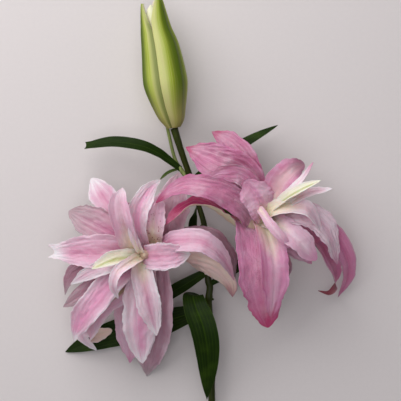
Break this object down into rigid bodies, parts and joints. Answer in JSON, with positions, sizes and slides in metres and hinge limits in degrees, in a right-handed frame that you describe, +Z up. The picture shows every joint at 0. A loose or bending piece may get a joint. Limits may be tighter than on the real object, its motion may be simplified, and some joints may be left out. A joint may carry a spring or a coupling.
{
  "type": "cut lily stem",
  "caption": "Cut stem of a double oriental lily lying on its back: ruffled pink blooms with cream hearts, a plump green bud, a hidden small bud and dark leaves.",
  "frame": {"origin": "middle of the bounding box's underside, on the surface that the stem lies on", "axes": "+Y along the stem from its cut end to the large bud, +X towards the right bloom, +Z up, the way the blooms face"},
  "size_m": [0.3036, 0.5012, 0.1095],
  "materials": {
    "petal_pale": "satin",
    "petal_deep": "satin",
    "heart_cream": "satin",
    "leaf_green": "satin",
    "stem_green": "satin",
    "bud_green": "satin"
  },
  "bodies": {
    "root": {"stem": "stem_green", "bud": "bud_green", "small_bud": "bud_green", "left_bloom": "petal_pale", "left_heart": "heart_cream", "right_bloom": "petal_deep", "right_heart": "heart_cream", "leaf_upper_left": "leaf_green", "leaf_upper_right": "leaf_green", "leaf_fork": "leaf_green", "leaf_hanging": "leaf_green", "leaf_front": "leaf_green", "leaf_mid_left": "leaf_green", "leaf_lower_left": "leaf_green", "leaf_right": "leaf_green"}
  },
  "joints": []
}
